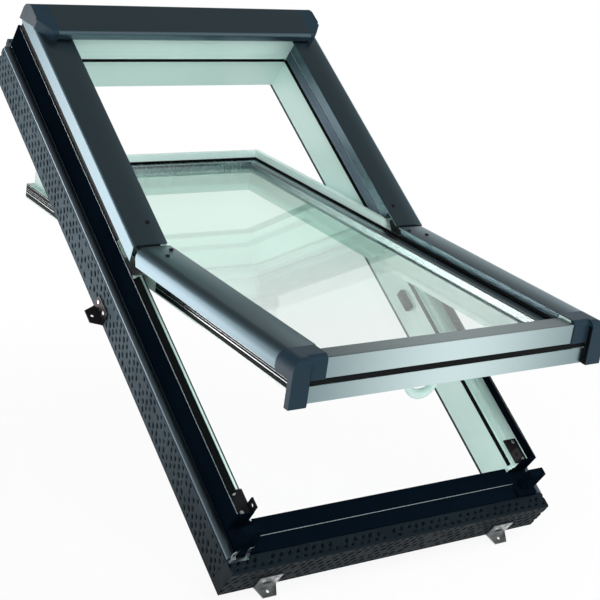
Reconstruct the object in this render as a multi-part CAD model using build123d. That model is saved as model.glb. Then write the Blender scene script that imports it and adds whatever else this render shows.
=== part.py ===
from build123d import *
import math
import os

# A centre-pivot roof window in its roof slope, with the sash turned partly open.
# Window axes: x across, y up the slope, z out of the roof. z is zero on the roof plane, and
# y is zero halfway up the frame. The finished window is turned by the roof pitch about x, and
# its origin is on the roof plane, in the middle of the lower collar's underside.

# Whole window
frame_width = 780
frame_length = 1400
cover_rise = 76
roof_pitch = 45
open_angle = 31.3
pivot_offset = 13
pivot_drop = 45
sheet = 2
fold_radius = 3
overrun = 1
run_gap = 0.4

# Fixed bars of white plastic profile
bar_base = 20
jamb_width = 50
shelf_height = 124
ledge_width = 12
ledge_drop = 14
head_depth = 80
sill_depth = 68
sill_rise = 10
sill_flat = 40
sill_fall = 8
foot_length = 58
corner_block_inset = 14
corner_block_length = 18
shelf_groove_width = 4
shelf_groove_depth = 3
shelf_groove_inset = 8
gasket_size = 6
gasket_lip = 2.5

# Black cladding round the frame, and the foam collar below it
collar_height = 80
collar_width = 23
collar_tuck = 40
collar_round = 5
lower_collar_width = 34
upper_collar_width = 22
collar_top_inset = 10
cladding_rise = 20
ridge_width = 6
ridge_bead = 1.5

# Covers of the fixed upper half
cover_reach = 83
cover_side = 39
cover_radius = 8
cover_rake = 11
cover_end_offset = 1
cover_tuck = 92
hinge_room = 55
stop_clear = 6
stop_gap = 4
stop_share = 0.41
stop_rib = 3
stop_rib_depth = 1.5

# Head cover and its end caps
head_cover_reach = 111
head_cover_rise = 28
head_cover_fall = 1
head_cover_slope = 19
head_cover_drop = 72
head_cover_inset = 40
head_cover_radius = 9
head_cap_round = 4
head_cap_bevel = 30
head_cap_bevel_length = 40
cheek_gap = 0.5
cheek_plate = 3.5
cheek_length = 66
cheek_depth = 36
cheek_round = 34
hem_width = 12
head_stop_reach = 98

# Sash bars
sash_rise = 37
sash_depth = 104
upstand = 13
upstand_round = 20
glass_ledge = 25
flange_depth = 68
flange_gap = 4
sash_foot_gap = 51
sash_head = 608
rail_shelf = 34
rail_reach = 100
rail_front_lift = 9
rail_front_width = 28
relief_below = 46
relief_above = 25
relief_depth = 23
wing_width = 66
wing_depth = 36
wing_nose = 12

# Glazing
glass_depth = 30
pane = 4
cavity = 18
pane_gap = 5
spacer_width = 12
bead_width = 27
bead_depth = 21
seal_width = 4

# Sash covers, rail trims and end caps
sash_cover_overhang = 1.5
sash_cover_side = 38
sash_cover_radius = 24
sash_cover_end = 36
rail_cover_width = 40
rail_cover_depth = 6
rail_lip_depth = 48
rail_trim_depth = 61
cap_front = 12
cap_length = 59
cap_overhang = 1.5
cap_inner = 3
cap_bulge_depth = 49
cap_toe_width = 40
cap_set_back = 10
cap_depth = 97
cap_wall = 5
cap_round = 15
trim_tuck = 4

# Pivot hinges
pin_radius = 6
pin_length = 26
ear_gap = 2
ear_plate = 6
ear_radius = 17
ear_foot_width = 32
ear_foot_thick = 3
ear_foot_half = 24
arm_plate = 3
arm_half = 34
arm_top = 11
arm_drop = 30
drum_radius = 41
drum_wall = 3
drum_web = 3
drum_start = 55
drum_end = 150
drum_inset = 6

# Lock, strikers and handle
bolt_radius = 4
bolt_slack = 0.5
bolt_inset = 24
bolt_depth = 51
bolt_inner = 60
guide_length = 24
guide_width = 8
guide_depth_half = 12
striker_gap = 6
striker_plate = 4
striker_width = 34
striker_length = 60
striker_base = 3
eye_inset = 13
eye_half = 12
eye_rise = 11
eye_slack = 1
handle_inset = 85
handle_base_half = 34
handle_base_depth = 22
handle_base_thick = 6
handle_lug = 6
handle_axis_drop = 11
handle_pin_radius = 3
handle_bow_half = 42
handle_bow_drop = 48
handle_bow_radius = 16
handle_grip_radius = 6
stop_block_length = 50
stop_block_place = 109
stop_block_height = 64
stop_block_rise = 18
stop_block_reach = 16
stop_block_chamfer = 4

# Roof brackets and screws
bracket_length = 54
bracket_thick = 2.5
bracket_leg = 40
bracket_flange = 25
bracket_tip = 32
bracket_hole_radius = 3.5
bracket_hole_reach = 13
bracket_slot_length = 20
bracket_slot_width = 7
bracket_slot_height = 14
bracket_screw_height = 29
bracket_screw_spread = 30
side_bracket_place = -44
end_bracket_inset = 85
screw_radius = 2
screw_head_radius = 4.5
screw_head = 2.4
screw_slack = 0.2
screw_bite = 15
cover_screw_place = 60
cover_screw_inset = 57
sash_screw_place = 61
sash_screw_inset = 11
sash_screw_step = 33
sash_screw_side = 27
striker_screw_spread = 44

# Places that follow from the sizes above
half_width = frame_width / 2
half_length = frame_length / 2
cover_height = shelf_height + cover_rise
pivot_height = cover_height - pivot_drop
cladding_height = shelf_height + cladding_rise
sill_height = collar_height + sill_rise
bar_outer = half_width - sheet
bar_end = half_length - sheet
jamb_inner = bar_outer - jamb_width
ledge_outer = jamb_inner + ledge_width
ledge_height = shelf_height - ledge_drop
head_inner = bar_end - head_depth
sill_inner = sill_depth - bar_end
foot_end = foot_length - bar_end
pivot_y = -pivot_offset
sash_foot = half_length - pivot_offset - sash_foot_gap
head_cover_half = half_width - head_cover_inset
end_bracket_place = half_width - end_bracket_inset
clear_half = half_width - cover_reach
stile_outer = clear_half + upstand
stile_inner = clear_half - glass_ledge
flange_outer = jamb_inner - flange_gap
flange_reach = flange_outer - stile_outer
stop_inner = stile_outer + stop_gap
stop_end = half_length - head_stop_reach
upper_start = pivot_y + hinge_room
wing_outer = stile_outer + wing_width
rail_front = sheet - sash_foot
rail_wall = rail_shelf - sash_foot
rail_inner = rail_reach - sash_foot
rail_step = rail_front_width - sash_foot
rail_front_depth = sash_depth - rail_front_lift
ledge_depth = glass_depth + pane + cavity + pane
pane_half = clear_half - pane_gap
pane_top = sash_head - upstand - pane_gap
pane_bottom = rail_wall + pane_gap
cap_start = cap_front + sash_foot - cap_length
sash_cover_outer = half_width + sash_cover_overhang
collar_outer = half_width + collar_width
ear_inner = jamb_inner + ear_gap
bolt_y = bolt_inset - sash_foot
fold_inside = fold_radius - sheet


def level(depth):
    """Height over the pivot axis of a sash face that lies this deep under the sash cover plane."""
    return sash_rise - depth


def block(x_span, y_span, z_span):
    """A box between two places on each axis."""
    spans = (x_span, y_span, z_span)
    middle = [(start + end) / 2 for start, end in spans]
    return Pos(*middle) * Box(*[end - start for start, end in spans])


def bar_along_y(face, start, end):
    """A bar from its section, drawn in x and z, between two places along the slope."""
    plane = Plane(origin=(0, end, 0), x_dir=(1, 0, 0), z_dir=(0, -1, 0))
    return extrude(plane * face, end - start)


def bar_along_x(face, start, end):
    """A bar from its section, drawn in y and z, between two places across the window."""
    plane = Plane(origin=(start, 0, 0), x_dir=(0, 1, 0), z_dir=(1, 0, 0))
    return extrude(plane * face, end - start)


def outline(*points):
    """A flat face with straight edges."""
    return make_face(Polyline(*points, close=True))


def folded_sheet(points, radius):
    """Section of a folded sheet: an outer line and the same line moved to its left by the sheet.

    Each fold is rounded, by the radius outside and by the radius less the sheet inside.
    """
    corners = [Vector(*point) for point in points]
    sides = [(after - before).normalized() for before, after in zip(corners, corners[1:])]
    normals = [Vector(-side.Y, side.X) for side in sides]
    inner = [corners[0] + normals[0] * sheet]
    for corner, before, after in zip(corners[1:], normals, normals[1:]):
        inner.append(corner + (before + after) * (sheet / (1 + before.dot(after))))
    inner.append(corners[-1] + normals[-1] * sheet)
    outside = FilletPolyline(*corners, radius=radius)
    inside = FilletPolyline(*inner, radius=radius - sheet)
    first = Line(corners[0], inner[0])
    last = Line(corners[-1], inner[-1])
    return make_face([*outside.edges(), *inside.edges(), first.edge(), last.edge()])


def rod_along_x(radius, start, end, y, z):
    """A round rod across the window."""
    return Pos(start, y, z) * Rot(0, 90, 0) * Cylinder(
        radius, end - start, align=(Align.CENTER, Align.CENTER, Align.MIN))


def screw(grip, slack):
    """A pan-head screw seated on z zero with its shank down, made wider by the slack for its hole."""
    shank = Cylinder(screw_radius + slack, grip, align=(Align.CENTER, Align.CENTER, Align.MAX))
    head = Cylinder(screw_head_radius, screw_head, align=(Align.CENTER, Align.CENTER, Align.MIN))
    crown = fillet(head.edges().group_by(Axis.Z)[-1], screw_head / 2)
    return shank + crown


def left_of(shape):
    """The same piece for the left side of the window."""
    return mirror(shape, about=Plane.YZ)


collar_middle = half_length + lower_collar_width / 2
in_roof = Rot(roof_pitch, 0, 0) * Pos(0, collar_middle, 0)
in_sash = in_roof * Pos(0, pivot_y, pivot_height) * Rot(-open_angle, 0, 0)
os.makedirs("parts", exist_ok=True)


def write(name, shapes, place):
    """Write one node, a single solid or a group of like solids, where it stands on the roof."""
    pieces = [place * shape for shape in shapes]
    solids = [solid for piece in pieces for solid in piece.solids()]
    whole = solids[0] if len(solids) == 1 else Compound(solids)
    export_step(whole, f"parts/{name}.step")


def write_pair(name, right, place):
    """Write the right-hand piece and its mirror image."""
    write(f"{name}_right", [right], place)
    write(f"{name}_left", [left_of(right)], place)


# Roof brackets: folded steel angles, each with a slot and a round hole in its flange
def roof_bracket():
    leg_half = bracket_length / 2
    leg = block((-leg_half, leg_half), (0, bracket_thick), (0, bracket_leg))
    tip_half = bracket_tip / 2
    reach = bracket_thick + bracket_flange
    flange = extrude(outline((-leg_half, 0), (leg_half, 0), (tip_half, reach), (-tip_half, reach)),
                     bracket_thick)
    hole = Pos(0, bracket_thick + bracket_hole_reach, 0) * Cylinder(bracket_hole_radius, bracket_leg)
    slot_face = SlotOverall(bracket_slot_length, bracket_slot_width)
    slot_plane = Plane(origin=(0, bracket_thick + overrun, bracket_slot_height), x_dir=(1, 0, 0),
                       z_dir=(0, -1, 0))
    slot = extrude(slot_plane * slot_face, bracket_thick + overrun + overrun)
    angle = leg + flange - hole - slot
    for side in (-1, 1):
        place = (side * bracket_screw_spread / 2, 0, bracket_screw_height)
        angle -= Pos(*place) * Rot(90, 0, 0) * Cylinder(screw_radius + screw_slack, bracket_leg)
    return angle


def bracket_screws(grip, slack):
    """The two screws of one bracket, their heads on its outer face."""
    pair = []
    for side in (-1, 1):
        place = (side * bracket_screw_spread / 2, bracket_thick, bracket_screw_height)
        pair.append(Pos(*place) * Rot(-90, 0, 0) * screw(grip, slack))
    return pair


collar_foot = -half_length - lower_collar_width
collar_head = half_length + upper_collar_width
side_grip = bracket_thick + collar_width + sheet + screw_bite
lower_grip = bracket_thick + lower_collar_width + sheet + screw_bite
upper_grip = bracket_thick + upper_collar_width + sheet + screw_bite
bracket_rows = {
    "side_brackets": ([Pos(side * collar_outer, side_bracket_place, 0) * Rot(0, 0, -90 * side)
                       for side in (-1, 1)], side_grip),
    "lower_brackets": ([Pos(side * end_bracket_place, collar_foot, 0) * Rot(0, 0, 180)
                        for side in (-1, 1)], lower_grip),
    "upper_brackets": ([Pos(side * end_bracket_place, collar_head, 0)
                        for side in (-1, 1)], upper_grip),
}
shown_screws = []
screw_holes = []
for name, (places, grip) in bracket_rows.items():
    write(name, [place * roof_bracket() for place in places], in_roof)
    for place in places:
        shown_screws += [place * piece for piece in bracket_screws(grip, 0)]
        screw_holes += [place * piece for piece in bracket_screws(grip, screw_slack)]
write("bracket_screws", shown_screws, in_roof)

# Foam collar: two sides and two ends, each tucked under the frame
collar_start = -half_length
collar_end = half_length - collar_top_inset
tuck_edge = half_width - collar_tuck
side_section = outline((tuck_edge, 0), (collar_outer, 0), (collar_outer, collar_height),
                       (half_width, collar_height), (half_width, bar_base), (tuck_edge, bar_base))
collar_side = bar_along_y(side_section, collar_start, collar_end)
side_corner = collar_side.edges().filter_by(Axis.Y).sort_by(lambda edge: edge.center().X + edge.center().Z)
collar_side = fillet(side_corner[-1], collar_round)
end_corner = collar_side.faces().sort_by(Axis.Y)[-1].edges().sort_by(Axis.Z)[-1]
collar_side = fillet(end_corner, collar_round) - screw_holes
write_pair("collar", collar_side, in_roof)
collar_lower = block((-collar_outer, collar_outer), (collar_foot, collar_start), (0, collar_height))
collar_lower = fillet(collar_lower.edges().filter_by(Axis.X).group_by(Axis.Z)[-1].sort_by(Axis.Y)[0],
                      collar_round)
collar_lower += block((-tuck_edge, tuck_edge), (collar_start, collar_start + collar_tuck), (0, bar_base))
write("collar_lower", [collar_lower - screw_holes], in_roof)
collar_upper = block((-half_width, half_width), (half_length, collar_head), (0, collar_height))
collar_upper += block((-tuck_edge, tuck_edge), (half_length - collar_tuck, half_length), (0, bar_base))
write("collar_upper", [collar_upper - screw_holes], in_roof)

# Frame bars: two jambs, with a head and a sill between them
groove_inner = ledge_outer + shelf_groove_inset
groove_outer = groove_inner + shelf_groove_width
groove_height = shelf_height - shelf_groove_depth
gasket_outer = jamb_inner + gasket_size
gasket_height = ledge_height - gasket_size
jamb_section = outline(
    (jamb_inner, bar_base), (bar_outer, bar_base), (bar_outer, shelf_height), (groove_outer, shelf_height),
    (groove_outer, groove_height), (groove_inner, groove_height), (groove_inner, shelf_height),
    (ledge_outer, shelf_height), (ledge_outer, ledge_height), (gasket_outer, ledge_height),
    (gasket_outer, gasket_height), (jamb_inner, gasket_height))
jamb = bar_along_y(jamb_section, -bar_end, bar_end)
jamb -= block((jamb_inner - overrun, half_width), (-half_length, foot_end), (sill_height, cover_height))
write_pair("jamb", jamb - screw_holes, in_roof)
head_ledge = head_inner + ledge_width
head_notch = head_inner + gasket_size
head_section = outline(
    (head_inner, bar_base), (bar_end, bar_base), (bar_end, shelf_height), (head_ledge, shelf_height),
    (head_ledge, ledge_height), (head_notch, ledge_height), (head_notch, gasket_height),
    (head_inner, gasket_height))
write("frame_head", [bar_along_x(head_section, -jamb_inner, jamb_inner) - screw_holes], in_roof)
sill_bend = sill_inner - sill_flat
sill_section = outline(
    (sill_inner, bar_base), (sill_inner, sill_height), (sill_bend, sill_height),
    (-bar_end, sill_height - sill_fall), (-bar_end, bar_base))
write("frame_sill", [bar_along_x(sill_section, -jamb_inner, jamb_inner) - screw_holes], in_roof)

# Gaskets: black rubber strips in the notch of the jambs and the head
lip_height = (gasket_height + ledge_height) / 2
lip_edge = jamb_inner - gasket_lip
jamb_strip = bar_along_y(
    outline((gasket_outer, gasket_height), (gasket_outer, ledge_height), (jamb_inner, ledge_height),
            (lip_edge, lip_height), (jamb_inner, gasket_height)), sill_inner, head_inner)
head_lip = head_inner - gasket_lip
head_strip = bar_along_x(
    outline((head_notch, gasket_height), (head_notch, ledge_height), (head_inner, ledge_height),
            (head_lip, lip_height), (head_inner, gasket_height)), run_gap - lip_edge, lip_edge - run_gap)
write("frame_gaskets", [jamb_strip, left_of(jamb_strip), head_strip], in_roof)

# Cladding: black folded sheet over the outer edge of each bar
ridge_inner = half_width - ridge_width
side_hook = [(half_width, collar_height), (half_width, cladding_height), (ridge_inner, cladding_height),
             (ridge_inner, shelf_height)]
hook_section = folded_sheet(side_hook, fold_radius)
foot_top = sill_height + sheet
side_cladding = bar_along_y(hook_section, foot_end, half_length)
side_cladding += block((bar_outer, half_width), (-half_length, foot_end), (collar_height, foot_top))
side_cladding += block((jamb_inner, half_width), (-half_length, foot_end), (sill_height, foot_top))
side_cladding += block((jamb_inner, half_width), (-half_length, -bar_end), (collar_height, foot_top))
side_cladding += block((ledge_outer, half_width), (foot_end - sheet, foot_end),
                       (sill_height, cladding_height))
block_low = corner_block_inset - half_length
side_cladding += block((ledge_outer, half_width), (block_low, block_low + corner_block_length),
                       (sill_height, cladding_height))
write_pair("side_cladding", side_cladding, in_roof)
head_hook = [(half_length, collar_height), (half_length, cladding_height),
             (half_length - ridge_width, cladding_height), (half_length - ridge_width, shelf_height)]
head_cladding = bar_along_x(folded_sheet(head_hook, fold_radius), -ridge_inner, ridge_inner)
write("head_cladding", [head_cladding], in_roof)
front_height = sill_height - sill_fall
sill_line = [(-half_length, collar_height), (-half_length, front_height + sheet),
             (sill_bend, foot_top), (sill_inner, foot_top)]
sill_cover = outline(*sill_line, (sill_inner, sill_height), (sill_bend, sill_height),
                     (-bar_end, front_height), (-bar_end, collar_height))
sill_cladding = bar_along_x(sill_cover, -jamb_inner, jamb_inner)
sill_cladding += rod_along_x(ridge_bead, -jamb_inner, jamb_inner, sill_bend, foot_top)
write("sill_cladding", [sill_cladding], in_roof)

# Upper half: ribbed plastic stops, the carriers on them and the covers over both
stop_base = shelf_height + stop_clear
under_cover = cover_height - sheet
carrier_base = stop_base + stop_share * (under_cover - stop_base)
rib_step = (carrier_base - stop_base) / 4


def ribbed(edge, inward, run):
    """Shallow grooves along the inner face of a stop, cut as bars by the given run."""
    cuts = []
    for row in (1, 3):
        low = stop_base + row * rib_step - stop_rib / 2
        high = low + stop_rib
        cuts.append(run(outline((edge, low), (edge + inward * stop_rib_depth, low),
                                (edge + inward * stop_rib_depth, high), (edge, high))))
    return cuts


stop_section = outline((stop_inner, stop_base), (ledge_outer, stop_base), (ledge_outer, shelf_height),
                       (ridge_inner, shelf_height), (ridge_inner, carrier_base), (stop_inner, carrier_base))
upper_stop = bar_along_y(stop_section, upper_start, stop_end)
upper_stop -= ribbed(stop_inner, 1, lambda face: bar_along_y(face, upper_start, stop_end))
write_pair("upper_stop", upper_stop, in_roof)
cover_inside = bar_outer - sheet
carrier_chamfer = min(cover_radius, (under_cover - carrier_base) / 2)
carrier_section = outline((stop_inner, carrier_base), (cover_inside, carrier_base),
                          (cover_inside, under_cover - carrier_chamfer),
                          (cover_inside - carrier_chamfer, under_cover), (stop_inner, under_cover))
cover_low = pivot_y - cover_end_offset
screw_x = bar_outer - cover_screw_inset
screw_place = Pos(screw_x, cover_low + cover_screw_place, cover_height)
upper_screw = screw_place * screw(sheet + screw_bite, 0)
upper_hole = screw_place * screw(sheet + screw_bite, screw_slack)
write_pair("cover_carrier", bar_along_y(carrier_section, upper_start, stop_end) - upper_hole, in_roof)
cover_line = [(bar_outer, cover_height - cover_side), (bar_outer, cover_height), (clear_half, cover_height)]
cover_end = stop_end + cover_tuck
upper_cover = bar_along_y(folded_sheet(cover_line, cover_radius), cover_low - cover_rake, cover_end)
side_foot = cover_height - cover_side
rake_end = cover_low - cover_rake
rake_cut = outline((cover_low, cover_height), (rake_end, side_foot), (rake_end - overrun, side_foot),
                   (rake_end - overrun, cover_height))
upper_cover -= bar_along_x(rake_cut, 0, frame_width)
write_pair("upper_cover", upper_cover - upper_hole, in_roof)
write("cover_screws", [upper_screw, left_of(upper_screw)], in_roof)

# Head: a ribbed stop on the head bar, the head cover over it and its end caps
head_stop_top = cover_height - cover_radius
head_stop_section = outline(
    (stop_end, stop_base), (head_ledge, stop_base), (head_ledge, shelf_height),
    (half_length - ridge_width, shelf_height), (half_length - ridge_width, head_stop_top),
    (stop_end, head_stop_top))
head_stop = bar_along_x(head_stop_section, -ridge_inner, ridge_inner)
head_stop -= ribbed(stop_end, 1, lambda face: bar_along_x(face, -ridge_inner, ridge_inner))
write("head_stop", [head_stop], in_roof)
lip_front = half_length - head_cover_reach
top_height = cover_height + head_cover_rise
back_end = half_length + sheet
head_line = [(back_end, cover_height + sheet - head_cover_drop), (back_end, cover_height + sheet),
             (back_end - head_cover_slope, top_height - head_cover_fall), (lip_front, top_height),
             (lip_front, cover_height), (lip_front + hem_width, cover_height)]
write("head_cover", [bar_along_x(folded_sheet(head_line, head_cover_radius),
                                 -head_cover_half, head_cover_half)], in_roof)
head_cap_face = outline((back_end, cover_height), *head_line[2:-1])
head_cap_face = fillet(head_cap_face.vertices().group_by(Axis.Y)[1:], head_cover_radius)
cheek_outer = bar_outer + cheek_gap + cheek_plate
head_cap = bar_along_x(head_cap_face, head_cover_half, cheek_outer)
cap_rim = head_cap.faces().sort_by(Axis.X)[-1].edges().group_by(Axis.Z)[1:]
head_cap = fillet([edge for row in cap_rim for edge in row], head_cap_round)
cheek_front = back_end - cheek_length
cheek_face = outline((cheek_front, cover_height), (cheek_front, top_height), (back_end, top_height),
                     (back_end, cover_height - cheek_depth))
cheek_corner = cheek_face.vertices().sort_by(lambda corner: corner.X + corner.Y)[-1]
head_cap += bar_along_x(fillet(cheek_corner, cheek_round), bar_outer + cheek_gap, cheek_outer)
bevel = Plane((cheek_outer - head_cap_bevel, lip_front, cover_height),
              z_dir=(head_cap_bevel_length, -head_cap_bevel, 0))
head_cap = split(head_cap, bisect_by=bevel, keep=Keep.BOTTOM)
write_pair("head_end_cap", head_cap, in_roof)

# Sash bars: two stiles, with the top and bottom rails between them
stile_base = level(sash_depth)
seat = level(ledge_depth)
flange_top = level(flange_depth)
stile_section = outline((stile_inner, stile_base), (flange_outer, stile_base), (flange_outer, flange_top),
                        (stile_outer, flange_top), (stile_outer, seat), (stile_inner, seat))
stile = bar_along_y(stile_section, rail_front, sash_head)
stile += block((stile_inner, flange_outer), (sash_head, sash_head + flange_reach), (stile_base, flange_top))
stile += block((clear_half, stile_outer), (rail_front, sash_head), (seat, level(relief_depth)))
upstand_face = outline((relief_above, seat), (sash_head, seat), (sash_head, sash_rise),
                       (relief_above, sash_rise))
near_corner = upstand_face.vertices().sort_by(lambda corner: corner.X - corner.Y)[0]
stile += bar_along_x(fillet(near_corner, upstand_round), clear_half, stile_outer)
wing_top = level(sheet)
wing_chamfer = wing_outer - sash_cover_outer + sash_cover_radius
wing = outline((clear_half + sheet, level(relief_depth)), (clear_half + sheet, wing_top),
               (wing_outer - wing_chamfer, wing_top), (wing_outer, wing_top - wing_chamfer),
               (wing_outer, level(wing_depth)), (stile_outer, level(wing_depth)),
               (stile_outer, level(relief_depth)))
stile += bar_along_y(wing, rail_front, -relief_below)
nose = outline((rail_front, wing_top), (rail_front + wing_nose, wing_top),
               (rail_front, wing_top - wing_nose))
stile -= bar_along_x(nose, 0, frame_width)
leg_slot = (level(bead_depth), sash_rise)
stile -= block((clear_half - overrun, clear_half + sheet), (rail_front, -relief_below), leg_slot)
stile -= block((stile_inner - overrun, flange_outer + overrun), (rail_front - overrun, rail_step),
               (stile_base - overrun, level(rail_front_depth)))
cap_inside = clear_half + cap_inner
rail_top = level(rail_cover_depth + sheet)
bead_foot = rail_cover_width - sash_foot
stile -= block((stile_inner, cap_inside), (rail_front - overrun, bead_foot), (rail_top, cover_height))
stile -= block((stile_inner, cap_inside), (rail_front - overrun, rail_front + fold_inside),
               (rail_top - fold_inside, cover_height))
bolt_bore = rod_along_x(bolt_radius + bolt_slack, 0, half_width, bolt_y, level(bolt_depth))
near_screw = Pos(clear_half + sash_screw_inset, -sash_screw_place, sash_rise)
sash_screw_places = [near_screw, near_screw * Pos(sash_screw_side, -sash_screw_step, 0)]
sash_screws = [place * screw(sheet + screw_bite, 0) for place in sash_screw_places]
sash_holes = [place * screw(sheet + screw_bite, screw_slack) for place in sash_screw_places]
write_pair("stile", stile - bolt_bore - sash_holes, in_sash)
top_inner = sash_head - upstand - glass_ledge
top_section = outline(
    (top_inner, stile_base), (sash_head + flange_reach, stile_base), (sash_head + flange_reach, flange_top),
    (sash_head, flange_top), (sash_head, sash_rise), (sash_head - upstand, sash_rise),
    (sash_head - upstand, seat), (top_inner, seat))
write("top_rail", [bar_along_x(top_section, -stile_inner, stile_inner)], in_sash)
lip_low = level(rail_lip_depth)
trim_top = level(rail_trim_depth)
front_low = level(rail_front_depth)
rail_groove = rail_front + seal_width
bottom_section = outline(
    (rail_front, rail_top - fold_inside), (rail_front + fold_inside, rail_top), (rail_wall, rail_top),
    (rail_wall, seat), (rail_inner, seat),
    (rail_inner, stile_base), (rail_step, stile_base), (rail_step, front_low), (rail_front, front_low),
    (rail_front, trim_top), (rail_groove, trim_top), (rail_groove, lip_low), (rail_front, lip_low))
bottom_rail = bar_along_x(bottom_section, -stile_inner, stile_inner) - bolt_bore - left_of(bolt_bore)
write("bottom_rail", [bottom_rail], in_sash)

# Glazing: two panes on a metal spacer, held by bright beads with black seals beside them
pane_span = ((-pane_half, pane_half), (pane_bottom, pane_top))
outer_face = level(glass_depth)
cavity_top = outer_face - pane
cavity_base = cavity_top - cavity
write("outer_pane", [block(*pane_span, (cavity_top, outer_face))], in_sash)
write("inner_pane", [block(*pane_span, (seat, cavity_base))], in_sash)
spacer = block(*pane_span, (cavity_base, cavity_top))
spacer_half = pane_half - spacer_width
spacer -= block((-spacer_half, spacer_half), (pane_bottom + spacer_width, pane_top - spacer_width),
                (cavity_base - overrun, cavity_top + overrun))
write("glass_spacer", [spacer], in_sash)
bead_top = level(bead_depth)
bead_outer = clear_half - seal_width
bead_inner = bead_outer - bead_width
bead_head = sash_head - upstand - seal_width
bead_round = (bead_top - outer_face) / 2
side_bead = bar_along_y(outline((bead_inner, outer_face), (bead_outer, outer_face), (bead_outer, bead_top),
                                (bead_inner + bead_round, bead_top), (bead_inner, outer_face + bead_round)),
                        bead_foot, bead_head)
top_bead_low = bead_head - bead_width
top_bead_section = outline(
    (top_bead_low, outer_face), (bead_head, outer_face), (bead_head, bead_top),
    (top_bead_low + bead_round, bead_top), (top_bead_low, outer_face + bead_round))
top_bead = bar_along_x(top_bead_section, -bead_inner, bead_inner)
write("glazing_beads", [side_bead, left_of(side_bead), top_bead], in_sash)
seal_head = sash_head - upstand
side_seal = block((bead_outer, clear_half), (bead_foot, seal_head), (outer_face, bead_top))
top_seal = block((-bead_outer, bead_outer), (bead_head, seal_head), (outer_face, bead_top))
foot_seal = block((-pane_half, pane_half), (rail_wall, bead_foot), (outer_face, rail_top))
write("glazing_seals", [side_seal, left_of(side_seal), top_seal, foot_seal], in_sash)

# Sash covers: folded sheet over the wing of each stile, with a raked upper end
cover_foot = level(sash_cover_side)
sash_line = [(sash_cover_outer, cover_foot), (sash_cover_outer, sash_rise), (clear_half, sash_rise)]
sash_cover = bar_along_y(folded_sheet(sash_line, sash_cover_radius), -cap_start, -sash_cover_end)
sash_cover += block((clear_half, clear_half + sheet), (-cap_start, -relief_below), (bead_top, sash_rise))
sash_rake = outline((-sash_cover_end, sash_rise), (-sash_cover_end - cover_rake, cover_foot),
                    (overrun - sash_cover_end, cover_foot), (overrun - sash_cover_end, sash_rise))
sash_cover -= bar_along_x(sash_rake, 0, frame_width)
write_pair("sash_cover", sash_cover - sash_holes, in_sash)
write("sash_cover_screws", sash_screws + [left_of(piece) for piece in sash_screws], in_sash)

# Bottom rail trims: a folded cover with a front lip, and a lower trim under the black gap
rail_cover_top = level(rail_cover_depth)
rail_cover_line = [(bead_foot, rail_cover_top), (-sash_foot, rail_cover_top), (-sash_foot, lip_low)]
rail_cover = bar_along_x(folded_sheet(rail_cover_line, fold_radius), -cap_inside, cap_inside)
write("rail_cover", [rail_cover], in_sash)
cap_outer = sash_cover_outer + cap_overhang
toe_inner = cap_outer - cap_toe_width
trim_half = toe_inner + trim_tuck
trim = block((-trim_half, trim_half), (-sash_foot, rail_front), (front_low, trim_top))
write("rail_lower_trim", [trim], in_sash)

# End caps: moulded pieces that close the sash covers. The outer part comes down over the rail's end as a
# toe, and the inner part is set back from it
cap_end = -sash_foot - cap_front
bulge_end = cap_end + cap_set_back
bulge_low = level(cap_bulge_depth)
toe_end = level(cap_depth)
toe_face = outline((toe_inner, toe_end), (cap_outer, toe_end), (cap_outer, sash_rise),
                   (toe_inner, sash_rise))
toe_corner = toe_face.vertices().sort_by(lambda corner: corner.X + corner.Y)[-1]
toe_face = fillet(toe_corner, sash_cover_radius + cap_overhang)
toe_side = outline((cap_end, toe_end), (rail_front, toe_end), (rail_front, bulge_low),
                   (-cap_start, bulge_low), (-cap_start, sash_rise), (cap_end, sash_rise))
bulge_side = outline((bulge_end, bulge_low), (-cap_start, bulge_low), (-cap_start, sash_rise),
                     (bulge_end, sash_rise))
toe_side = fillet(toe_side.vertices().sort_by(lambda corner: corner.X - corner.Y)[0], cap_round)
bulge_side = fillet(bulge_side.vertices().sort_by(lambda corner: corner.X - corner.Y)[0], wing_nose)
cap_body = bar_along_y(toe_face, cap_end, -cap_start) & bar_along_x(toe_side, toe_inner, cap_outer)
cap_body += bar_along_x(bulge_side, cap_inside, toe_inner)
hollow_outer = cap_outer - cap_wall
hollow_chamfer = hollow_outer - wing_outer + wing_chamfer
hollow_section = outline(
    (0, toe_end), (hollow_outer, toe_end), (hollow_outer, wing_top - hollow_chamfer),
    (hollow_outer - hollow_chamfer, wing_top), (0, wing_top))
hollow = bar_along_y(hollow_section, rail_front, overrun - cap_start)
cap_body -= hollow - bar_along_x(nose, 0, frame_width)
cap_body -= block((0, cap_outer), (rail_front, overrun - cap_start), (toe_end, cover_foot - sheet))
cap_body -= trim
write_pair("end_cap", cap_body, in_sash)

# Pivot hinges: an ear on the jamb shelf, and an arm with a pin and a drum on the stile
ear_outer = ear_inner + ear_plate
shelf_drop = shelf_height - pivot_height
ledge_level = ledge_height - pivot_height
ear_shape = make_face([Line((-ear_radius, 0), (-ear_radius, ledge_level)).edge(),
                       Line((-ear_radius, ledge_level), (ear_radius, ledge_level)).edge(),
                       Line((ear_radius, ledge_level), (ear_radius, 0)).edge(),
                       ThreePointArc((ear_radius, 0), (0, ear_radius), (-ear_radius, 0)).edge()])
ear = bar_along_x(ear_shape, ear_inner, ear_outer)
ear += block((ear_inner, ear_outer + ear_foot_width), (-ear_foot_half, ear_foot_half),
             (shelf_drop, shelf_drop + ear_foot_thick))
ear -= rod_along_x(pin_radius + screw_slack, 0, half_width, 0, 0)
write_pair("hinge_ear", Pos(0, pivot_y, pivot_height) * ear, in_roof)
arm = block((stile_outer, stile_outer + arm_plate), (-arm_half, arm_half), (-arm_drop, arm_top))
arm += rod_along_x(pin_radius, stile_outer, stile_outer + arm_plate + pin_length, 0, 0)
write_pair("hinge_arm", arm, in_sash)


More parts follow.
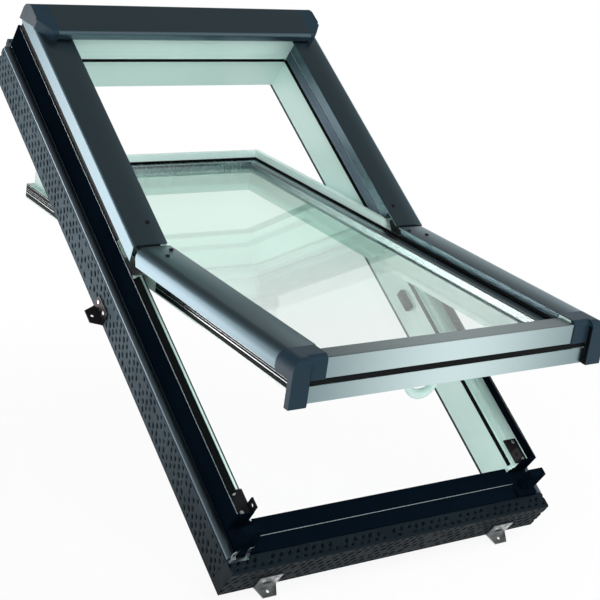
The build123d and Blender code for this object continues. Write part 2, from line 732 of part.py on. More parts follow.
def sector(outer, inner):
    """Part of a flat ring about the pivot, between the drum's two angles."""
    def spoke(radius, angle):
        turn = math.radians(angle)
        return (radius * math.cos(turn), radius * math.sin(turn))

    middle = (drum_start + drum_end) / 2
    return make_face([
        ThreePointArc(spoke(outer, drum_start), spoke(outer, middle), spoke(outer, drum_end)).edge(),
        Line(spoke(outer, drum_end), spoke(inner, drum_end)).edge(),
        ThreePointArc(spoke(inner, drum_end), spoke(inner, middle), spoke(inner, drum_start)).edge(),
        Line(spoke(inner, drum_start), spoke(outer, drum_start)).edge()])


drum_inner = stile_outer + arm_plate
drum_outer = half_width - ridge_width - drum_inset
drum = bar_along_x(sector(drum_radius, drum_radius - drum_wall), drum_inner, drum_outer)
drum += bar_along_x(sector(drum_radius, pin_radius + screw_slack), drum_inner, drum_inner + drum_web)
write_pair("hinge_drum", drum, in_sash)

# Lock: two bolts that slide out of the rail, their guides, and the strikers on the jambs
bolt_level = level(bolt_depth)
guide_outer = stile_outer + guide_width
bolt_end = jamb_inner + ear_gap
guide = block((stile_outer, guide_outer), (bolt_y - guide_length / 2, bolt_y + guide_length / 2),
              (bolt_level - guide_depth_half, bolt_level + guide_depth_half)) - bolt_bore
write("bolt_guides", [guide, left_of(guide)], in_sash)
bolt = rod_along_x(bolt_radius, bolt_inner, bolt_end, bolt_y, bolt_level)
bolt = chamfer(bolt.edges().sort_by(Axis.X)[-1], bolt_radius / 4)
write_pair("lock_bolt", bolt, in_sash)
striker_inner = jamb_inner + striker_gap
striker_top = shelf_height + striker_base
eye_y = pivot_y + bolt_y
eye_z = pivot_height + bolt_level
striker_low = eye_y - eye_inset
striker = block((striker_inner, striker_inner + striker_width), (striker_low, striker_low + striker_length),
                (shelf_height, striker_top))
striker += block((striker_inner, striker_inner + striker_plate), (eye_y - eye_half, eye_y + eye_half),
                 (shelf_height, eye_z + eye_rise))
striker -= rod_along_x(bolt_radius + eye_slack, 0, half_width, eye_y, eye_z)
plate_middle = striker_low + striker_length / 2
striker_screw_x = striker_inner + striker_width - striker_screw_spread / 4
striker_screws = []
striker_holes = []
for side in (-1, 1):
    place = Pos(striker_screw_x, plate_middle + side * striker_screw_spread / 2, striker_top)
    striker_screws.append(place * screw(striker_base, 0))
    striker_holes.append(place * screw(striker_base + overrun, screw_slack))
write_pair("striker", striker - striker_holes, in_roof)
write("striker_screws", striker_screws + [left_of(piece) for piece in striker_screws], in_roof)

# Opening stops: black blocks on the inner faces of the jambs
stop_block = block((jamb_inner - stop_block_reach, jamb_inner),
                   (pivot_y - stop_block_place - stop_block_length, pivot_y - stop_block_place),
                   (stop_block_height, stop_block_height + stop_block_rise))
stop_block = chamfer(stop_block.faces().sort_by(Axis.X)[0].edges(), stop_block_chamfer)
write_pair("opening_stop", stop_block, in_roof)

# Handle: a base with two lugs under the bottom rail, and a bow that turns in them
handle_y = handle_inset - sash_foot
axis_level = stile_base - handle_axis_drop
base_half_depth = handle_base_depth / 2
base = block((-handle_base_half, handle_base_half), (handle_y - base_half_depth, handle_y + base_half_depth),
             (stile_base - handle_base_thick, stile_base))
lug_low = axis_level - handle_pin_radius - handle_lug
for side in (-1, 1):
    lug_span = sorted((side * handle_base_half, side * (handle_base_half - handle_lug)))
    base += block(lug_span, (handle_y - handle_lug, handle_y + handle_lug), (lug_low, stile_base))
base -= rod_along_x(handle_pin_radius + screw_slack, -half_width, half_width, handle_y, axis_level)
write("handle_base", [base], in_sash)
bow_low = axis_level - handle_bow_drop
bow_path = FilletPolyline((-handle_bow_half, handle_y, axis_level), (-handle_bow_half, handle_y, bow_low),
                          (handle_bow_half, handle_y, bow_low), (handle_bow_half, handle_y, axis_level),
                          radius=handle_bow_radius)
bow_start = Plane(origin=(-handle_bow_half, handle_y, axis_level), z_dir=(0, 0, -1))
bow = sweep(bow_start * Circle(handle_grip_radius), path=bow_path)
for side in (-1, 1):
    tip = side * handle_bow_half
    root = side * (handle_base_half - handle_lug)
    start, end = sorted((tip, root))
    bow += rod_along_x(handle_pin_radius, start, end, handle_y, axis_level)
    bow += Pos(tip, handle_y, axis_level) * Sphere(handle_grip_radius)
write("handle", [bow], in_sash)
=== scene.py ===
import math

import bmesh
import bpy
import numpy as np
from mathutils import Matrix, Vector


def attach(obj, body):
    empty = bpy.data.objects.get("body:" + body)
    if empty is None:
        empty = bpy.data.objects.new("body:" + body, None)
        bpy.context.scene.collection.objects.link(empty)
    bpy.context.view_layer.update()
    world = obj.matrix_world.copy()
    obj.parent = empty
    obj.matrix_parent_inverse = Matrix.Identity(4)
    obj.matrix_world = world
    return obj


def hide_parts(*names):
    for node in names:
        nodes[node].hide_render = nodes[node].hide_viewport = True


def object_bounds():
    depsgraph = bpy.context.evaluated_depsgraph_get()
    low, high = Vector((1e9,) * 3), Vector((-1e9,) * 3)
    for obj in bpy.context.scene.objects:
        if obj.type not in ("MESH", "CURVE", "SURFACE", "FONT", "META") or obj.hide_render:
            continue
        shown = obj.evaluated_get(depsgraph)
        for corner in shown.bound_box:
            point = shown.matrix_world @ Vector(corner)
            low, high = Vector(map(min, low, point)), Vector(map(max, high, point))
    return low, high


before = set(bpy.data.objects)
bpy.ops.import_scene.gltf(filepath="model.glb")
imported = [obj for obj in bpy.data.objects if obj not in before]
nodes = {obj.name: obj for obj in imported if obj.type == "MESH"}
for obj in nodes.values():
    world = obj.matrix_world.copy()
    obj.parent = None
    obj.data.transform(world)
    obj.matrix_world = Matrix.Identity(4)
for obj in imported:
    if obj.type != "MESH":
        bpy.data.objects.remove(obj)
cad_low, cad_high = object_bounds()

# Camera: about three and a half metres away on the left, a little lower than the window's head,
# with a long lens. Its place and lens come from solving the photo's perspective.
scene = bpy.context.scene
scene.view_settings.view_transform = "Standard"
camera_azimuth = math.radians(-34.447)
camera_elevation = math.radians(8.857)
camera_data = bpy.data.cameras.new("camera")
camera_data.lens = 92.6
camera = bpy.data.objects.new("camera", camera_data)
camera.location = (-1.9166, -2.4882, 1.0235)
look = Vector((-math.sin(camera_azimuth) * math.cos(camera_elevation),
               math.cos(camera_azimuth) * math.cos(camera_elevation),
               -math.sin(camera_elevation)))
camera.rotation_euler = look.to_track_quat("-Z", "Y").to_euler()
scene.collection.objects.link(camera)
scene.camera = camera


# Surround: a white studio that is bright up to a low height and dim overhead, so that the covers'
# flat tops stay dark and their upright sides turn light.
def adder(tree):
    """A short way to add a node to a tree.

    A math node is told its operation. Each keyword is an input's name, or i and its number, and
    gives a value or an output to link.
    """
    def add(kind, operation=None, **inputs):
        node = tree.nodes.new(kind)
        if operation:
            node.operation = operation
        for name, value in inputs.items():
            numbered = name[1:].isdigit()
            socket = node.inputs[int(name[1:]) if numbered else name.replace("_", " ")]
            if isinstance(value, bpy.types.NodeSocket):
                tree.links.new(value, socket)
            else:
                socket.default_value = value
        return node

    return add


def emptied(owner):
    """Empty the node tree of a material or world, and give the way to add to it."""
    owner.use_nodes = True
    owner.node_tree.nodes.clear()
    return adder(owner.node_tree)


bright_up_to, dim_from = 0.29, 0.77
overhead_strength = 0.22
world = bpy.data.worlds.new("surround")
scene.world = world
add = emptied(world)
direction = add("ShaderNodeSeparateXYZ", i0=add("ShaderNodeTexCoord").outputs["Generated"])
shade = add("ShaderNodeMapRange", Value=direction.outputs["Z"], From_Min=bright_up_to,
            From_Max=dim_from, To_Min=1.0, To_Max=overhead_strength)
shade.interpolation_type = "SMOOTHSTEP"
surround = add("ShaderNodeBackground", Color=(1, 1, 1, 1), Strength=shade.outputs[0])
add("ShaderNodeOutputWorld", Surface=surround.outputs[0])

# Lamps: a tall panel behind on the left that only shows as gloss on the covers' sides, and two
# soft lamps, in front and at the right, that light the white bars and show in no gloss.
white = (1.0, 1.0, 1.0)
panel_white = (1.0, 0.91, 0.88)
lamps = (
    # name, place, aim, size, watts, colour, shows as gloss alone
    ("back_panel", (-1.25, 1.7, 0.55), (-0.39, 0.45, 0.72), (0.8, 1.3), 17, panel_white, True),
    ("soft_key", (-1.5, -3.0, 3.6), (0.0, 0.3, 0.4), (3.0, 3.0), 133, white, False),
    ("soft_fill", (3.2, -1.2, 2.4), (0.0, 0.3, 0.4), (2.4, 2.4), 60, white, False),
)
for name, place, aim, size, watts, colour, gloss_alone in lamps:
    lamp_data = bpy.data.lights.new(name, "AREA")
    lamp_data.shape = "RECTANGLE"
    lamp_data.size, lamp_data.size_y = size
    lamp_data.energy = watts
    lamp_data.color = colour
    lamp = bpy.data.objects.new(name, lamp_data)
    lamp.location = place
    lamp.rotation_euler = (Vector(aim) - Vector(place)).to_track_quat("-Z", "Y").to_euler()
    lamp.visible_camera = False
    lamp.visible_glossy = gloss_alone
    lamp.visible_diffuse = not gloss_alone
    scene.collection.objects.link(lamp)

# Floor: a plain pale sheet just under the window, which keeps its soft shadow. To the camera, in
# gloss and through glass it glows white, a little less near the window, where the shadow lies.
floor_half = 30.0
floor_gap = 0.002
floor_paint_white = 0.93
shadow_middle = (0.0, 0.4)
shadow_reach = (0.9, 3.2)
glow_by_shadow = 0.91
floor_height = cad_low.z - floor_gap
floor_corners = np.array([[-1, -1], [1, -1], [1, 1], [-1, 1]]) * floor_half
floor_mesh = bpy.data.meshes.new("floor")
floor_mesh.from_pydata(np.c_[floor_corners, np.full(4, floor_height)].tolist(), [], [(0, 1, 2, 3)])
floor = bpy.data.objects.new("floor", floor_mesh)
scene.collection.objects.link(floor)
pale_floor = bpy.data.materials.new("pale_floor")
add = emptied(pale_floor)
paint = add("ShaderNodeBsdfDiffuse", Color=(floor_paint_white,) * 3 + (1,))
glow = add("ShaderNodeEmission", Color=(1, 1, 1, 1), Strength=1.0)
path = add("ShaderNodeLightPath")
seen = add("ShaderNodeMath", "MAXIMUM", i0=path.outputs["Is Camera Ray"],
           i1=path.outputs["Is Glossy Ray"])
seen_through = add("ShaderNodeMath", "MAXIMUM", i0=seen.outputs[0],
                   i1=path.outputs["Is Transmission Ray"])
away = add("ShaderNodeVectorMath", "DISTANCE", i0=add("ShaderNodeTexCoord").outputs["Object"],
           i1=(*shadow_middle, floor_height))
clear_of_shadow = add("ShaderNodeMapRange", Value=away.outputs["Value"], From_Min=shadow_reach[0],
                      From_Max=shadow_reach[1], To_Min=glow_by_shadow, To_Max=1.0)
share = add("ShaderNodeMath", "MULTIPLY", i0=seen_through.outputs[0], i1=clear_of_shadow.outputs[0])
mixed = add("ShaderNodeMixShader", i0=share.outputs[0], i1=paint.outputs[0], i2=glow.outputs[0])
add("ShaderNodeOutputMaterial", Surface=mixed.outputs[0])
floor_mesh.materials.append(pale_floor)


# Bars: white plastic profile, extruded, cut to length and screwed together at the corners: jambs,
# head and sill, the ribbed stops of the upper half, and the stiles and rails of the sash. The
# handle's base is moulded in the same white.
def surface_group(name):
    """Shared unevenness of a worked surface, on Object coordinates.

    A broad noise gives slow patches, and a noise stretched along the bar gives drawing lines.
    """
    group = bpy.data.node_groups.new(name, "ShaderNodeTree")
    for socket, way, kind in (("Patch Scale", "INPUT", "NodeSocketFloat"),
                              ("Line Scale", "INPUT", "NodeSocketFloat"),
                              ("Stretch", "INPUT", "NodeSocketVector"),
                              ("Patches", "OUTPUT", "NodeSocketFloat"),
                              ("Lines", "OUTPUT", "NodeSocketFloat")):
        group.interface.new_socket(socket, in_out=way, socket_type=kind)
    add = adder(group)
    given = add("NodeGroupInput")
    place = add("ShaderNodeTexCoord").outputs["Object"]
    patches = add("ShaderNodeTexNoise", Vector=place, Scale=given.outputs["Patch Scale"],
                  Detail=4.0)
    stretched = add("ShaderNodeVectorMath", "MULTIPLY", i0=place, i1=given.outputs["Stretch"])
    lines = add("ShaderNodeTexNoise", Vector=stretched.outputs[0],
                Scale=given.outputs["Line Scale"], Detail=3.0)
    add("NodeGroupOutput", Patches=patches.outputs[0], Lines=lines.outputs[0])
    return group


worked_surface = surface_group("worked_surface")


def worked_material(name, dark, light, metallic, rough, patch_scale, line_scale, stretch, bump,
                    painted_shade=None, **plain):
    """A finish whose colour drifts with the patches and whose roughness and bump follow the lines.

    Where a painted shade colour is given, the mesh's "pressed" values turn the finish to it; on the
    foam that is painted shade in the press marks and towards the foot.
    """
    material = bpy.data.materials.new(name)
    add = emptied(material)
    uneven = add("ShaderNodeGroup")
    uneven.node_tree = worked_surface
    uneven.inputs["Patch Scale"].default_value = patch_scale
    uneven.inputs["Line Scale"].default_value = line_scale
    uneven.inputs["Stretch"].default_value = stretch
    tint = add("ShaderNodeMix", Factor=uneven.outputs["Patches"], i6=(*dark, 1), i7=(*light, 1))
    tint.data_type = "RGBA"
    # Painted shade: the mesh's "pressed" values turn the colour towards the shade colour.
    if painted_shade:
        pressed = add("ShaderNodeAttribute")
        pressed.attribute_name = "pressed"
        tint = add("ShaderNodeMix", Factor=pressed.outputs["Fac"], i6=tint.outputs[2], i7=(*painted_shade, 1))
        tint.data_type = "RGBA"
    lines = uneven.outputs["Lines"]
    worn = add("ShaderNodeMapRange", Value=lines, To_Min=rough[0], To_Max=rough[1])
    relief = add("ShaderNodeBump", Strength=bump, Distance=0.0004, Height=lines)
    shader = add("ShaderNodeBsdfPrincipled", Base_Color=tint.outputs[2], Roughness=worn.outputs[0],
                 Normal=relief.outputs[0], Metallic=metallic, **plain)
    add("ShaderNodeOutputMaterial", Surface=shader.outputs[0])
    return material


def dress(material, *names):
    """Give these CAD nodes one finish."""
    for name in names:
        mesh = nodes[name].data
        mesh.materials.clear()
        mesh.materials.append(material)


def both(*names):
    """The left and right nodes of each name."""
    return [f"{name}_{side}" for name in names for side in ("left", "right")]


white_profile = worked_material(
    "white_profile", dark=(0.68, 0.90, 0.85), light=(0.74, 0.94, 0.89), metallic=0.0,
    rough=(0.24, 0.36), patch_scale=3.0, line_scale=60.0, stretch=(1.0, 0.05, 0.05), bump=0.02,
    Coat_Weight=0.15)
dress(white_profile, *both("jamb", "upper_stop", "stile"), "frame_head", "frame_sill", "head_stop",
      "top_rail", "bottom_rail", "handle_base")

# Gaskets and glazing seals: extruded black rubber, dull and finely grained, pushed into the
# frame's notch all round and in between the beads and the glass.
rubber = worked_material(
    "rubber", dark=(0.001, 0.002, 0.002), light=(0.004, 0.005, 0.006), metallic=0.0,
    rough=(0.45, 0.65), patch_scale=8.0, line_scale=90.0, stretch=(1.0, 1.0, 1.0), bump=0.1,
    Specular_IOR_Level=0.08)
dress(rubber, "frame_gaskets", "glazing_seals")

# Glazing beads: bright drawn aluminium, clipped round the panes to hold them, with fine drawing
# lines along it. The spacer that keeps the two panes apart is of the same metal.
bead_metal = worked_material(
    "bead_metal", dark=(0.30, 0.36, 0.38), light=(0.42, 0.48, 0.50), metallic=1.0,
    rough=(0.22, 0.32), patch_scale=2.0, line_scale=420.0, stretch=(1.0, 0.004, 0.004), bump=0.003)
dress(bead_metal, "glazing_beads", "glass_spacer")

# Panes: two sheets of clear float glass, sealed to the spacer between them. A slow ripple stirs
# what they mirror. Their faint green deepens from the foot of the sash towards its head: a painted
# tint that stands in for the greener look of glass seen at a flatter angle.
clear_below, green_above = -0.05, 0.45
clear_glass = bpy.data.materials.new("clear_glass")
add = emptied(clear_glass)
place = add("ShaderNodeTexCoord").outputs["Object"]
ripple = add("ShaderNodeTexNoise", Vector=place, Scale=1.6)
wave = add("ShaderNodeBump", Strength=0.02, Distance=0.0004, Height=ripple.outputs[0])
up_slope = add("ShaderNodeSeparateXYZ", i0=place)
painted_flat_view_green = add("ShaderNodeMapRange", Value=up_slope.outputs["Y"], From_Min=clear_below,
                   From_Max=green_above)
green = add("ShaderNodeMix", Factor=painted_flat_view_green.outputs[0], i6=(0.965, 1.0, 0.988, 1),
            i7=(0.89, 1.0, 0.955, 1))
green.data_type = "RGBA"
clear = add("ShaderNodeBsdfPrincipled", Base_Color=green.outputs[2], Roughness=0.0, IOR=1.25,
            Transmission_Weight=1.0, Specular_Tint=(0.72, 1.0, 0.9, 1), Normal=wave.outputs[0])
add("ShaderNodeOutputMaterial", Surface=clear.outputs[0])
dress(clear_glass, "outer_pane", "inner_pane")


# Sash corners: moulded white blocks, pushed into the corners between the top rail and each stile,
# where they close the upstand round the glass. Their upper edges are bevelled.
def on_roof(x, y, z):
    """Turn window sizes in millimetres into model metres.

    They are across, up the slope from its middle, and out of the roof. The slope leans by 45
    degrees, and the origin is under the lower foam, below the middle.
    """
    below_middle = 717.0
    lean = math.sqrt(0.5)
    x, y, z = np.broadcast_arrays(x, y, z)
    return np.stack([x, (y + below_middle - z) * lean, (y + below_middle + z) * lean], -1) / 1000.0


def on_sash(x, t, h):
    """Turn sash sizes in millimetres into model metres.

    They are across, from the pivot towards the head, and out of the glass. The sash is turned open
    by 31.3 degrees about the pivot.
    """
    turn = math.radians(31.3)
    pivot_up, pivot_out = -13.0, 155.0
    t, h = np.asarray(t, float), np.asarray(h, float)
    return on_roof(x, t * math.cos(turn) + h * math.sin(turn) + pivot_up,
                   h * math.cos(turn) - t * math.sin(turn) + pivot_out)


def slope_bar(place, sign, section, run):
    """Rings of a straight bar up the slope, from a section drawn across and out of the plane."""
    return place(sign * section[None, :, 0], np.array(run)[:, None], section[None, :, 1])


def cross_bar(place, section, run):
    """Rings of a straight bar across, from a section drawn up the slope and out of the plane."""
    return place(np.array(run)[:, None], section[None, :, 0], section[None, :, 1])


def bar_piece(name, rings, material, body, slot, *stands_for):
    """Skin a bar and close both ends: rings[i, j] is point j of the section at station i."""
    stations, count = rings.shape[:2]
    at = np.arange(stations * count).reshape(stations, count)
    along = np.roll(at, -1, axis=1)
    quads = np.stack([at[:-1], along[:-1], along[1:], at[1:]], axis=-1).reshape(-1, 4)
    ends = [at[0, ::-1].tolist(), at[-1].tolist()]
    mesh = bpy.data.meshes.new(name)
    mesh.from_pydata(rings.reshape(-1, 3).tolist(), [], quads.tolist() + ends)
    shell = bmesh.new()
    shell.from_mesh(mesh)
    bmesh.ops.recalc_face_normals(shell, faces=shell.faces)
    shell.to_mesh(mesh)
    shell.free()
    mesh.polygons.foreach_set("use_smooth", np.ones(len(mesh.polygons), bool))
    mesh.set_sharp_from_angle(angle=math.radians(35))
    mesh.materials.append(material)
    piece = bpy.data.objects.new(name, mesh)
    scene.collection.objects.link(piece)
    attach(piece, body)
    if stands_for:
        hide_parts(*stands_for)
    return piece


sides = (("left", -1.0), ("right", 1.0))
block_foot, block_head = 595.2, 607.8
block_low, block_high = -18.6, 36.8
bevel = 1.0
block_section = np.array([[block_foot, block_low], [block_head, block_low],
                          [block_head, block_high - bevel], [block_head - bevel, block_high],
                          [block_foot + bevel, block_high], [block_foot, block_high - bevel]])
block_run = np.array([282.4, 306.6])
for side, sign in sides:
    bar_piece(f"sash_corner_{side}", cross_bar(on_sash, block_section, sign * block_run),
              white_profile, "sash", "white_profile")

# Bead seals: thin round rubber, pressed into the angle between the glazing beads and the upstands
# round them, along the head and down both sides.
circle_turn = np.linspace(0.0, 2.0 * math.pi, 17)[:-1]
circle = np.c_[np.cos(circle_turn), np.sin(circle_turn)]
seal_height = 18.6
top_seal = [592.0, seal_height] + circle * [2.6, 2.3]
bar_piece("bead_seal_top", cross_bar(on_sash, top_seal, (-301.0, 301.0)),
          rubber, "sash", "black_rubber")
side_seal = [304.4, seal_height] + circle * [2.2, 2.3]
for side, sign in sides:
    bar_piece(f"bead_seal_{side}", slope_bar(on_sash, sign, side_seal, (-592.0, 594.0)),
              rubber, "sash", "black_rubber")

# Sash side seals: black rubber with four ribs, pressed into the outer flange of each stile above
# and below the pivot, with bright aluminium lips drawn along it. The lowest lip is the broadest.
rib = np.linspace(0.0, 1.0, 49)
ribs = 4.0
rib_height = 0.8
ribbed_face, ribbed_top, ribbed_depth = 334.4, -31.5, 32.0
flange_face = 334.1
seal_section = np.r_[
    np.c_[ribbed_face + rib_height * np.abs(np.sin(rib * ribs * math.pi)) ** 0.5,
          ribbed_top - rib * ribbed_depth],
    [[flange_face, -63.8], [flange_face, -31.2]]]
lip_outline = np.array([[334.6, -0.5], [335.4, -0.35], [335.4, 0.35], [334.6, 0.5]])
lips = ((-33.0, 1.0), (-41.5, 0.8), (-46.0, 0.8), (-52.0, 2.4))
seal_runs = {"lower": (-606.0, -42.0), "upper": (42.0, 620.0)}
for side, sign in sides:
    for half, run in seal_runs.items():
        bar_piece(f"sash_side_seal_{half}_{side}", slope_bar(on_sash, sign, seal_section, run),
                  rubber, "sash", "black_rubber")
        for height, breadth in lips:
            lip_section = np.c_[lip_outline[:, 0], height + breadth * lip_outline[:, 1]]
            bar_piece(f"sash_side_lip_{half}_{side}_{-height:.0f}",
                      slope_bar(on_sash, sign, lip_section, run),
                      bead_metal, "sash", "bright_aluminium")

# Rail trims: drawn aluminium, anodised a middle grey, one folded over the bottom rail and one
# clipped under it. A painted highlight makes their fronts lightest in the middle, and painted shade
# makes the folded top darker.
rail_trim = worked_material(
    "rail_trim", dark=(0.20, 0.28, 0.30), light=(0.64, 0.78, 0.79), metallic=1.0,
    rough=(0.24, 0.34), patch_scale=1.7, line_scale=260.0, stretch=(0.02, 1.0, 1.0), bump=0.04)


def paint_rail_highlight_and_shade(material, reach, fold, top_shade_share):
    """Painted highlight: light in the middle of the rail, running to dark at this reach either way.

    Behind the fold, on the rail's top, painted shade leaves only a share of the colour. The place
    behind the fold is the Object place times the direction of the sash's slope, 13.7 degrees from
    level.
    """
    slope = math.radians(13.7)
    fold_width = 0.002
    tree = material.node_tree
    add = adder(tree)
    tint = [node for node in tree.nodes if node.bl_idname == "ShaderNodeMix"][0]
    shader = [node for node in tree.nodes if node.bl_idname == "ShaderNodeBsdfPrincipled"][0]
    place = add("ShaderNodeTexCoord").outputs["Object"]
    away = add("ShaderNodeMath", "ABSOLUTE", i0=add("ShaderNodeSeparateXYZ", i0=place).outputs["X"])
    # Painted highlight: the colour is lightest in the middle of the rail.
    fall = add("ShaderNodeMapRange", Value=away.outputs[0], From_Min=0.0, From_Max=reach,
               To_Min=1.0, To_Max=0.0)
    fall.interpolation_type = "SMOOTHSTEP"
    tree.links.new(fall.outputs[0], tint.inputs["Factor"])
    up_sash = add("ShaderNodeVectorMath", "DOT_PRODUCT", i0=place,
                  i1=(0.0, math.cos(slope), math.sin(slope)))
    # Painted shade: the top behind the fold keeps only a share of the colour.
    behind = add("ShaderNodeMapRange", Value=up_sash.outputs["Value"], From_Min=fold,
                 From_Max=fold + fold_width, To_Min=1.0, To_Max=top_shade_share)
    shaded = add("ShaderNodeVectorMath", "SCALE", i0=tint.outputs[2], Scale=behind.outputs[0])
    tree.links.new(shaded.outputs[0], shader.inputs["Base Color"])


paint_rail_highlight_and_shade(rail_trim, reach=0.42, fold=-0.1135, top_shade_share=0.5)
dress(rail_trim, "rail_cover", "rail_lower_trim")

# Groove strip: a black strip with a rounded face, in the rubber finish, in the gap between the two
# rail trims, from cap to cap.
groove_section = np.array([[-634.9, -11.6], [-634.9, -23.4], [-635.6, -22.6], [-635.9, -17.5],
                           [-635.6, -12.4]])
bar_piece("rail_groove_strip", cross_bar(on_sash, groove_section, (-352.5, 352.5)),
          rubber, "sash", "black_rubber")

# Stop liners: strips of grey-blue aluminium, drawn with five ribs and clipped on the inner face of
# the upper stops.
liner_metal = worked_material(
    "liner_metal", dark=(0.06, 0.09, 0.12), light=(0.10, 0.14, 0.18), metallic=1.0,
    rough=(0.30, 0.42), patch_scale=3.0, line_scale=200.0, stretch=(1.0, 0.02, 0.02), bump=0.04)
liner_ribs = 5.0
liner_rib_height = 0.9
liner_face, liner_back = 323.0, 323.8
liner_low, liner_high = 130.6, 157.2
liner_section = np.r_[
    np.c_[liner_face - liner_rib_height * np.abs(np.sin(rib * liner_ribs * math.pi)),
          liner_low + (liner_high - liner_low) * rib],
    [[liner_back, liner_high], [liner_back, liner_low]]]
for side, sign in sides:
    bar_piece(f"stop_liner_{side}", slope_bar(on_roof, sign, liner_section, (42.5, 601.5)),
              liner_metal, "frame", "bright_aluminium")

# Black cladding: thin aluminium sheet with a dark gloss coat, folded and clipped over the outer
# edges of the frame.
black_cladding = worked_material(
    "black_cladding", dark=(0.001, 0.003, 0.006), light=(0.003, 0.007, 0.013), metallic=0.0,
    rough=(0.16, 0.3), patch_scale=5.0, line_scale=70.0, stretch=(1.0, 0.06, 0.06), bump=0.02,
    Specular_IOR_Level=0.0)
dress(black_cladding, *both("side_cladding"), "head_cladding", "sill_cladding")

# Cladding edges: the bare bright edge along the ridge of the black sheet, a rubber strip that
# fills the gap under the upper covers, and on the lower half a rubber lip that leans inwards.
edge_section = [388.4, 144.3] + circle * [0.8, 0.7]
gap_section = np.array([[384.2, 145.8], [385.9, 145.8], [385.9, 157.6], [384.2, 157.6]])
lean_section = np.array([[387.0, 144.1], [384.0, 144.1], [374.6, 152.4], [374.8, 153.3],
                         [376.0, 153.3]])
for side, sign in sides:
    bar_piece(f"ridge_edge_{side}", slope_bar(on_roof, sign, edge_section, (-639.0, 690.0)),
              bead_metal, "frame", "bright_aluminium")
    bar_piece(f"cover_gap_strip_{side}", slope_bar(on_roof, sign, gap_section, (42.5, 692.0)),
              rubber, "frame", "black_rubber")
    bar_piece(f"leaning_lip_{side}", slope_bar(on_roof, sign, lean_section, (-596.0, -60.0)),
              rubber, "frame", "black_rubber")

# Sill ridge: a bright drawn wire of aluminium, rolled into the bend of the sill's cladding from
# side to side.
ridge_section = [-670.0, 92.6] + circle * [1.0, 1.5]
bar_piece("sill_ridge_wire", cross_bar(on_roof, ridge_section, (-336.0, 336.0)),
          bead_metal, "frame", "bright_aluminium")

# Jamb end pads: thin black rubber, glued over the bare ends of the jambs, one on the stepped lower
# end and a three-cornered one on the inner side, where the sill's cladding slopes away below it.
step_section = np.array([[338.2, 92.3], [349.8, 92.3], [349.8, 109.8], [344.2, 109.8],
                         [344.2, 103.8], [338.2, 103.8]])
corner_section = np.array([[-699.6, 84.6], [-674.0, 91.7], [-699.6, 91.7]])
corner_run = np.array([336.9, 337.9])
for side, sign in sides:
    bar_piece(f"jamb_end_pad_{side}", slope_bar(on_roof, sign, step_section, (-641.4, -640.1)),
              rubber, "frame", "black_rubber")
    bar_piece(f"jamb_side_pad_{side}", cross_bar(on_roof, corner_section, sign * corner_run),
              rubber, "frame", "black_rubber")

# Covers: folded aluminium with a satin anthracite coat, screwed over the fixed upper half, the head
# and the sash. The long covers stand a little proud along their middle, as folded sheet does.
anthracite = worked_material(
    "anthracite_cover", dark=(0.072, 0.114, 0.138), light=(0.086, 0.131, 0.156), metallic=0.95,
    rough=(0.26, 0.34), patch_scale=2.5, line_scale=90.0, stretch=(1.0, 0.04, 0.04), bump=0.005,
    Coat_Weight=0.2, Coat_Roughness=0.22, Specular_Tint=(0.88, 0.98, 1.0, 1))
dress(anthracite, *both("cover_carrier"), "head_cover")


def crowned(material, middle, crown):
    """Let a folded sheet stand proud along its middle line.

    The height over the flat falls as the crown times the square of the distance from that line.
    """
    proud = material.copy()
    proud.name = material.name + "_crowned"
    tree = proud.node_tree
    add = adder(tree)
    relief = [node for node in tree.nodes if node.bl_idname == "ShaderNodeBump"][0]
    across = add("ShaderNodeSeparateXYZ", i0=add("ShaderNodeTexCoord").outputs["Object"])
    height = across.outputs["X"]
    for operation, value in (("ABSOLUTE", 0.0), ("SUBTRACT", middle), ("POWER", 2.0),
                             ("MULTIPLY", -crown)):
        step = add("ShaderNodeMath", operation, i0=height, i1=value)
        height = step.outputs[0]
    arch = add("ShaderNodeBump", Distance=1.0, Height=height)
    tree.links.new(arch.outputs[0], relief.inputs["Normal"])
    return proud


dress(crowned(anthracite, middle=0.349, crown=3.2), *both("upper_cover", "sash_cover"))

# End caps: satin plastic mouldings that push into the ends of the head cover and of the sash
# covers and close them.
cap_plastic = worked_material(
    "cap_plastic", dark=(0.010, 0.022, 0.034), light=(0.017, 0.035, 0.049), metallic=0.0,
    rough=(0.30, 0.42), patch_scale=9.0, line_scale=300.0, stretch=(1.0, 1.0, 1.0), bump=0.08,
    Specular_IOR_Level=0.2, Specular_Tint=(0.4, 0.75, 1.0, 1))
dress(cap_plastic, *both("end_cap", "head_end_cap"))

# Toe strips: black strips let into the inner side of each end cap's toe, where it stands proud of
# the cap: painted shade, a dark sheet where the toe's inner side lies in shadow. They run down the
# toe, out of the plane of the glass.
toe_section = np.array([[351.4, -647.2], [352.8, -647.6], [352.8, -638.4], [351.4, -638.4]])
toe_run = np.array([24.0, -59.0])
for side, sign in sides:
    toe_rings = on_sash(sign * toe_section[None, :, 0], toe_section[None, :, 1], toe_run[:, None])
    bar_piece(f"toe_strip_{side}", toe_rings, rubber, "sash", "black_rubber")

# Hinges and bolts: zinc-plated steel, pressed and bent for the hinge ears and arms, turned for the
# lock bolts and the screws of the brackets and strikers.
zinc_steel = worked_material(
    "zinc_steel", dark=(0.46, 0.48, 0.49), light=(0.70, 0.72, 0.72), metallic=1.0,
    rough=(0.26, 0.44), patch_scale=60.0, line_scale=120.0, stretch=(1.0, 1.0, 1.0), bump=0.15)
dress(zinc_steel, "bracket_screws", "striker_screws", *both("hinge_ear", "hinge_arm", "lock_bolt"))

